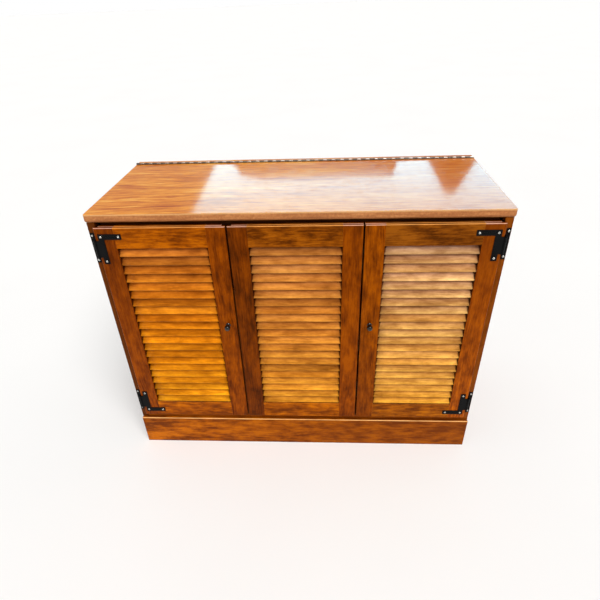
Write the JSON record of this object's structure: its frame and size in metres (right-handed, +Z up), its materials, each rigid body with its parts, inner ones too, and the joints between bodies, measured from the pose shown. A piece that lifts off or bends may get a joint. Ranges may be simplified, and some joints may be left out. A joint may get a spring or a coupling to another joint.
{
  "type": "tv stand with doors",
  "caption": "Low television cabinet with louvred doors on black HL surface hinges, small round knobs, a plinth and a lift-up lid on a piano hinge over a top compartment.",
  "frame": {"origin": "centre of the bounding box footprint, on the floor", "axes": "+X to the right along the width as seen from the front, +Y to the back, +Z up; the doors face -Y"},
  "size_m": [1.02, 0.479, 0.7712],
  "materials": {
    "top_laminate": "glossy wood-look laminate, grain along the width",
    "case_wood": "stained maple, satin lacquer",
    "plinth_wood": "stained maple, satin lacquer, blotchy",
    "apron_wood": "dark stained, satin",
    "door_wood_upright": "stained maple, satin lacquer, grain upright",
    "door_wood_level": "stained maple, satin lacquer, grain level",
    "slat_wood": "golden maple, satin lacquer",
    "inner_board": "plain veneered board, matt lacquer",
    "back_board": "hardboard, matt",
    "raw_softwood": "raw softwood",
    "black_iron": "black enamel, semi-gloss",
    "screw_steel": "bright zinc",
    "knob_black": "gloss black",
    "hinge_steel": "dulled nickel plate",
    "stay_steel": "zinc plated strip",
    "peg_steel": "zinc plated",
    "catch_plastic": "dark brown moulding"
  },
  "bodies": {
    "case": {"case_side_left": "case_wood", "case_side_right": "case_wood", "case_bottom": "case_wood", "compartment_deck": "inner_board", "compartment_front": "apron_wood", "back_panel": "back_board", "top_rear_strip": "top_laminate", "divider": "case_wood", "plinth_board": "plinth_wood", "plinth_cleat": "raw_softwood", "base_rear_rail": "raw_softwood", "deck_battens": "raw_softwood", "shelf_left": "inner_board", "shelf_right": "inner_board", "shelf_pegs": "peg_steel", "piano_leaf_case": "hinge_steel", "piano_pin": "hinge_steel", "lid_stay_studs": "stay_steel", "hl_left_upper_frame_leaf": "black_iron", "hl_left_lower_frame_leaf": "black_iron", "hl_right_upper_frame_leaf": "black_iron", "hl_right_lower_frame_leaf": "black_iron", "hl_pins": "black_iron", "hl_screws_case": "screw_steel", "door_catches": "catch_plastic"},
    "lid": {"lid_board": "top_laminate", "lid_apron": "apron_wood", "piano_leaf_lid": "hinge_steel", "lid_stay_brackets": "stay_steel"},
    "stay_left": {"lid_stay_left": "stay_steel"},
    "stay_right": {"lid_stay_right": "stay_steel"},
    "left_door": {"left_stile_left": "door_wood_upright", "left_stile_right": "door_wood_upright", "left_rail_top": "door_wood_level", "left_rail_bottom": "door_wood_level", "left_slats": "slat_wood", "hl_left_upper_door_leaf": "black_iron", "hl_left_lower_door_leaf": "black_iron", "hl_screws_left_door": "screw_steel", "knob_left": "knob_black", "catch_plate_left": "peg_steel"},
    "right_door": {"right_stile_left": "door_wood_upright", "right_stile_right": "door_wood_upright", "right_rail_top": "door_wood_level", "right_rail_bottom": "door_wood_level", "right_slats": "slat_wood", "hl_right_upper_door_leaf": "black_iron", "hl_right_lower_door_leaf": "black_iron", "hl_screws_right_door": "screw_steel", "knob_right": "knob_black", "fold_leaves_right": "hinge_steel", "fold_pins": "hinge_steel"},
    "middle_door": {"middle_stile_left": "door_wood_upright", "middle_stile_right": "door_wood_upright", "middle_rail_top": "door_wood_level", "middle_rail_bottom": "door_wood_level", "middle_slats": "slat_wood", "fold_leaves_middle": "hinge_steel", "catch_plate_middle": "peg_steel"}
  },
  "joints": [
    {"name": "lid_hinge", "type": "hinge", "parent": "case", "child": "lid", "pos_m": [0, 0.2075, 0.7687], "axis": [-1, 0, 0], "range_deg": [0, 75]},
    {"name": "stay_left_pivot", "type": "hinge", "parent": "lid", "child": "stay_left", "pos_m": [-0.4844, 0.1025, 0.7357], "axis": [-1, 0, 0], "range_deg": [-37.5, 0]},
    {"name": "stay_right_pivot", "type": "hinge", "parent": "lid", "child": "stay_right", "pos_m": [0.4844, 0.1025, 0.7357], "axis": [-1, 0, 0], "range_deg": [-37.5, 0]},
    {"name": "left_door_hinge", "type": "hinge", "parent": "case", "child": "left_door", "pos_m": [-0.4932, -0.2186, 0.4265], "axis": [0, 0, -1], "range_deg": [0, 165]},
    {"name": "right_door_hinge", "type": "hinge", "parent": "case", "child": "right_door", "pos_m": [0.4932, -0.2186, 0.4265], "axis": [0, 0, 1], "range_deg": [0, 88]},
    {"name": "fold_hinge", "type": "hinge", "parent": "right_door", "child": "middle_door", "pos_m": [0.1645, -0.195, 0.425], "axis": [0, 0, 1], "range_deg": [-176, 0]}
  ],
  "couplings": [
    {"joint": "stay_left_pivot", "follows": "lid_hinge", "ratio": -0.5},
    {"joint": "stay_right_pivot", "follows": "lid_hinge", "ratio": -0.5},
    {"joint": "fold_hinge", "follows": "right_door_hinge", "ratio": -2}
  ]
}
